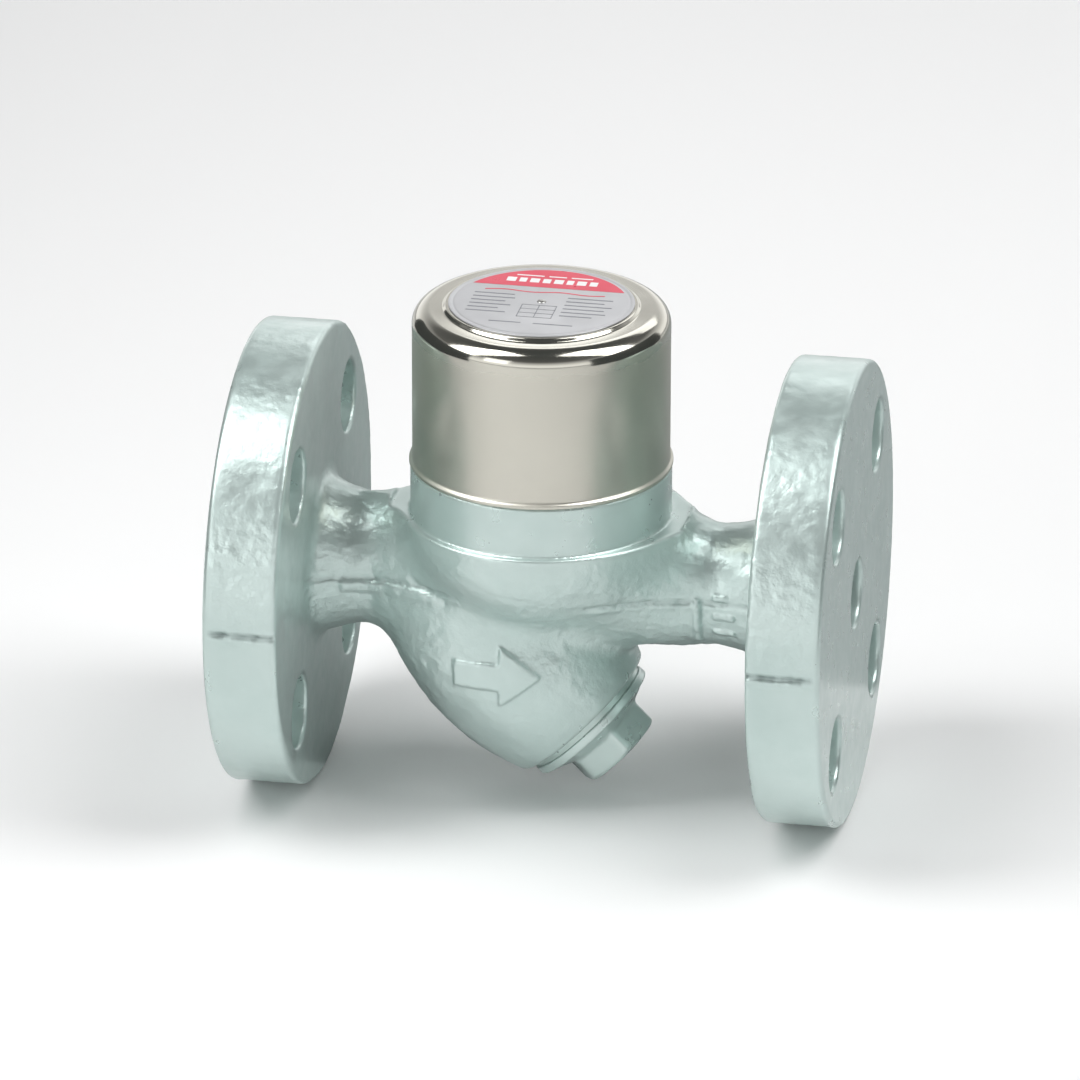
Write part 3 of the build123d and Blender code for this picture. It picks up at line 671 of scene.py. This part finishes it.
plate_metal = satin("plate_look", (0.50, 0.505, 0.52), 0.34, metallic=0.55)
rivet_metal = satin("rivet_look", (0.48, 0.48, 0.46), 0.32)
print_red = satin("print_red_look", (0.62, 0.035, 0.075), 0.32, metallic=0.15)
print_grey = satin("print_grey_look", (0.20, 0.21, 0.23), 0.4, metallic=0.1)
print_white = satin("print_white_look", (0.78, 0.78, 0.78), 0.4, metallic=0.1)

# ---------------------------------------------------------------- the painted casting
casting_step = 0.55
rim_step = 0.27
plug_step = 0.26
low, high = (-1.5, -49.5, -49.5), (126.5, 49.5, 49.5)
casting = object_from_field("casting_body", casting_field, low, high, casting_step, "body", cast_relief)
use(casting, casting_paint)
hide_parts("body_casting")

low, high = (32.5, -27.5, 20.5), (87.5, 27.5, 38.0)
rim = object_from_field("casting_rim", rim_field, low, high, rim_step, "body")
use(rim, turned_steel)

low, high = (33.55, -15.93, -15.93), (55.9, 15.93, 15.93)
plug = object_from_field("plug_body", plug_field, low, high, plug_step, "plug", place=from_strainer)
use(plug, plug_paint)
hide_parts("strainer_plug")

# ---------------------------------------------------------------- cap, plate and turned pieces
segments = 192
lip_top = SHOULDER + CAP_LIP_T
side_low = lip_top + 0.65
plateau_top = CAP_TOP + PLATEAU_H
cap_profile = (
    [(CAP_R - CAP_WALL, SHOULDER)]
    + arc((CAP_LIP_R - 0.28, SHOULDER + 0.28), 0.28, -90, 0, 5)
    + arc((CAP_LIP_R - 0.4, lip_top - 0.4), 0.4, 0, 55, 6)
    + [(CAP_R + 0.22, lip_top + 0.12), (CAP_R + 0.06, lip_top + 0.36), (CAP_R, side_low)]
    + [(CAP_R, 34.0), (CAP_R, 43.0)]
    + arc((CAP_R - CAP_EDGE, CAP_TOP - CAP_EDGE), CAP_EDGE, 0, 90, 20)
    + arc((PLATEAU_R + 0.55, CAP_TOP + 0.35), 0.35, 270, 215, 5)
    + arc((PLATEAU_R - 0.4, plateau_top - 0.4), 0.4, 35, 90, 6)
    + [(12.0, plateau_top), (0, plateau_top)]
    + [(0, plateau_top - CAP_WALL), (PLATEAU_R - 0.6, plateau_top - CAP_WALL)]
    + [(PLATEAU_R - 0.2, CAP_TOP - CAP_WALL)]
    + arc((CAP_R - CAP_EDGE, CAP_TOP - CAP_EDGE), CAP_EDGE - CAP_WALL, 90, 0, 10)
)
cap = lathe("cap_shell", cap_profile, "cap", segments, smooth_angle=50)
use(cap, nickel)
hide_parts("outer_cap")

plate_face = plateau_top + PLATE_T
plate_profile = (
    [(0, plateau_top - 0.02), (PLATE_R - 0.1, plateau_top - 0.02), (PLATE_R, plateau_top + 0.1)]
    + arc((PLATE_R - 0.18, plate_face - 0.18), 0.18, 0, 90, 5)
    + [(PLATE_R - 0.75, plate_face - 0.02), (PLATE_R - 0.95, plate_face - 0.09)]
    + [(PLATE_R - 1.15, plate_face - 0.02), (PLATE_R - 1.4, plate_face), (0, plate_face)]
)
plate = lathe("plate_disc", plate_profile, "cap", segments, smooth_angle=50)
use(plate, plate_metal)
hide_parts("nameplate")


def printed(name, outlines, material, height=0.03):
    """Thin raised ink areas on the plate, from closed outlines about the trap's axis."""
    vertices, faces = [], []
    for points in outlines:
        start, count = len(vertices), len(points)
        for z in (plate_face - 0.05, plate_face + height):
            vertices += [(TRAP_X + x, y, z) for x, y in points]
        faces.append([start + count + k for k in range(count)])
        faces.append([start + k for k in reversed(range(count))])
        for k in range(count):
            m = (k + 1) % count
            faces.append([start + k, start + m, start + count + m, start + count + k])
    made = make_object(name, vertices, faces, "cap", 30)
    use(made, material)
    return made


def bar(x0, x1, y0, y1):
    return [(x0, y0), (x1, y0), (x1, y1), (x0, y1)]


RED_FROM = 7.7
PRINT_R = PLATE_R - 1.5
ROW_PITCH, RULE = 1.95, 0.42
half_angle = math.acos(RED_FROM / PRINT_R)
red_chord = [(PRINT_R * math.sin(t), PRINT_R * math.cos(t)) for t in np.linspace(half_angle, -half_angle, 49)]
wave = [(x, 5.3 + 0.35 * math.sin(x * 0.55)) for x in np.linspace(-12.5, 12.0, 40)]
red_wave = (wave + [(x, y - RULE) for x, y in reversed(wave)])[::-1]
printed("plate_red_print", [red_chord, red_wave], print_red)
rules = []
for left, widths in ((-14.2, (8.2, 8.6, 7.0, 8.4, 6.2, 8.0)), (4.9, (9.2, 7.8, 9.6, 8.4, 9.0, 6.6))):
    for row, width in enumerate(widths):
        y = 2.6 - row * ROW_PITCH
        rules.append(bar(left, left + width, y, y + RULE))
for y in (-2.2, -4.4, -6.6, -8.8):
    rules.append(bar(-3.6, 3.6, y, y + 0.18))
for x in (-3.6, -0.1, 3.42):
    rules.append(bar(x, x + 0.18, -8.8, -2.02))
for x, width in ((-8.5, 6.5), (0.5, 8.0)):
    rules.append(bar(x, x + width, -12.2, -11.8))
printed("plate_grey_print", rules, print_grey)
pale = []
block_starts = (-9.2, -6.6, -4.4, -1.8, 0.5, 3.1, 5.2, 7.8)
block_widths = (1.9, 1.5, 1.9, 1.6, 1.9, 1.4, 1.9, 1.6)
for x, width in zip(block_starts, block_widths):
    pale.append(bar(x, x + width, 10.0, 12.2))
for x, width in ((-7.6, 5.6), (-1.0, 3.6), (3.6, 4.4)):
    pale.append(bar(x, x + width, 13.4, 13.9))
printed("plate_pale_print", pale, print_white, 0.05)

RIVET_R, RIVET_H = 0.95, 0.33
rivet_profile = [(0, plate_face - 0.1), (RIVET_R, plate_face - 0.1)]
for t in np.linspace(0, math.pi / 2, 9):
    rivet_profile.append((RIVET_R * math.cos(t), plate_face + RIVET_H * math.sin(t)))
rivet = lathe("rivet_head", rivet_profile, "cap", 48, smooth_angle=50)
use(rivet, rivet_metal)
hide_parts("nameplate_rivet")

carried = {
    "valve_seat": lapped_steel,
    "inner_seat_gasket": soft_metal,
    "outer_seat_gasket": soft_metal,
    "valve_disc": lapped_steel,
    "air_vent_ring": bimetal,
    "cover_gasket": soft_metal,
    "valve_cover": turned_steel,
    "strainer_screen": screen_steel,
    "plug_gasket": gasket_paint,
}
for node, material in carried.items():
    use(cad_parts[node], material)

# ---------------------------------------------------------------- floor, light and camera
FLOOR_Z = -0.0476


def sheet(name, corners, material):
    """A flat four-cornered piece of the studio, in metres."""
    mesh = bpy.data.meshes.new(name)
    mesh.from_pydata(corners, [], [(0, 1, 2, 3)])
    made = bpy.data.objects.new(name, mesh)
    bpy.context.scene.collection.objects.link(made)
    use(made, material)
    return made


def matt(name, colour, roughness):
    material = bpy.data.materials.new(name)
    Nodes(material).set(Base_Color=colour, Roughness=roughness)
    return material


floor_look = matt("floor_look", (0.93, 0.93, 0.93), 0.8)
floor_corners = [(-4, -4, FLOOR_Z), (4, -4, FLOOR_Z), (4, 8, FLOOR_Z), (-4, 8, FLOOR_Z)]
floor = sheet("floor", floor_corners, floor_look)

target, distance = Vector((0.059776, 0, 0.006483)), 1.9814
azimuth, elevation, roll = (math.radians(v) for v in (10.846, 22.895, 0.121))
level = math.cos(elevation)
back = Vector((math.sin(azimuth) * level, -math.cos(azimuth) * level, math.sin(elevation)))
right = Vector((math.cos(azimuth), math.sin(azimuth), 0))
up = back.cross(right)
camera_right = right * math.cos(roll) + up * math.sin(roll)
camera_up = up * math.cos(roll) - right * math.sin(roll)
camera_data = bpy.data.cameras.new("camera")
camera_data.lens, camera_data.sensor_width = 325.44, 36.0
camera_data.clip_start, camera_data.clip_end = 0.1, 30
camera = bpy.data.objects.new("camera", camera_data)
turn = Matrix((camera_right, camera_up, back)).transposed().to_4x4()
camera.matrix_world = Matrix.Translation(target + back * distance) @ turn
bpy.context.scene.collection.objects.link(camera)
bpy.context.scene.camera = camera


def softbox(name, place, size, power):
    """A rectangular light aimed at the middle of the trap."""
    data = bpy.data.lights.new(name, "AREA")
    data.shape, data.size, data.size_y = "RECTANGLE", size[0], size[1]
    data.energy = power
    made = bpy.data.objects.new(name, data)
    made.location = place
    made.rotation_euler = (Vector((0.06, 0, 0.01)) - Vector(place)).to_track_quat("-Z", "Y").to_euler()
    bpy.context.scene.collection.objects.link(made)


softbox("overhead_left", (-0.56, -0.24, 0.88), (0.55, 1.0), 9.0)
softbox("overhead_right", (0.72, 0.01, 0.88), (0.55, 1.0), 9.0)
softbox("front_left", (-0.8, -1.5, 0.75), (0.7, 0.7), 2.4)
softbox("behind", (0.2, 1.6, 1.1), (1.2, 0.5), 3.0)

# dark cards on both sides, which the cap and the casting reflect
card_look = matt("card_look", (0.05, 0.055, 0.055), 0.9)
foot = -0.0475
for name, x in (("card_left", -0.34), ("card_right", 0.46)):
    card = sheet(name, [(x, -0.3, foot), (x, 0.4, foot), (x, 0.4, 0.27), (x, -0.3, 0.27)], card_look)
    card.visible_camera = False

# grey cards flat behind the trap, seen only in reflections: they darken the faces turned to the outlet
card_z = -0.047
cards_behind = (("card_behind_left", -0.1, 0.1, 0.0, 0.24), ("card_behind_right", 0.1, 0.4, 0.06, 0.38))
for name, x0, x1, y0, shade in cards_behind:
    card_behind_look = matt(name + "_look", (shade, shade * 1.05, shade * 1.05), 0.9)
    corners = [(x0, y0, card_z), (x1, y0, card_z), (x1, 0.6, card_z), (x0, 0.6, card_z)]
    card = sheet(name, corners, card_behind_look)
    card.visible_camera = card.visible_shadow = card.visible_diffuse = False

world = bpy.data.worlds.new("studio")
bpy.context.scene.world = world
world.use_nodes = True
sky = world.node_tree
sky.nodes.clear()
sky_out = sky.nodes.new("ShaderNodeOutputWorld")
sky_back = sky.nodes.new("ShaderNodeBackground")
sky_ramp = sky.nodes.new("ShaderNodeValToRGB")
sky_split = sky.nodes.new("ShaderNodeSeparateXYZ")
sky_where = sky.nodes.new("ShaderNodeTexCoord")
sky.links.new(sky_where.outputs["Generated"], sky_split.inputs[0])
sky.links.new(sky_split.outputs["Z"], sky_ramp.inputs["Fac"])
sky.links.new(sky_ramp.outputs["Color"], sky_back.inputs["Color"])
sky.links.new(sky_back.outputs[0], sky_out.inputs["Surface"])
ramp = sky_ramp.color_ramp
ramp.elements[0].position, ramp.elements[0].color = 0.0, (1, 1, 1, 1)
ramp.elements[1].position, ramp.elements[1].color = 1.0, (0.05, 0.055, 0.055, 1)
for position, level in ((0.15, 0.98), (0.36, 0.55), (0.56, 0.11)):
    element = ramp.elements.new(position)
    element.color = (level, level, level, 1)
sky_back.inputs["Strength"].default_value = 1.3

bpy.context.scene.view_settings.view_transform = "Standard"
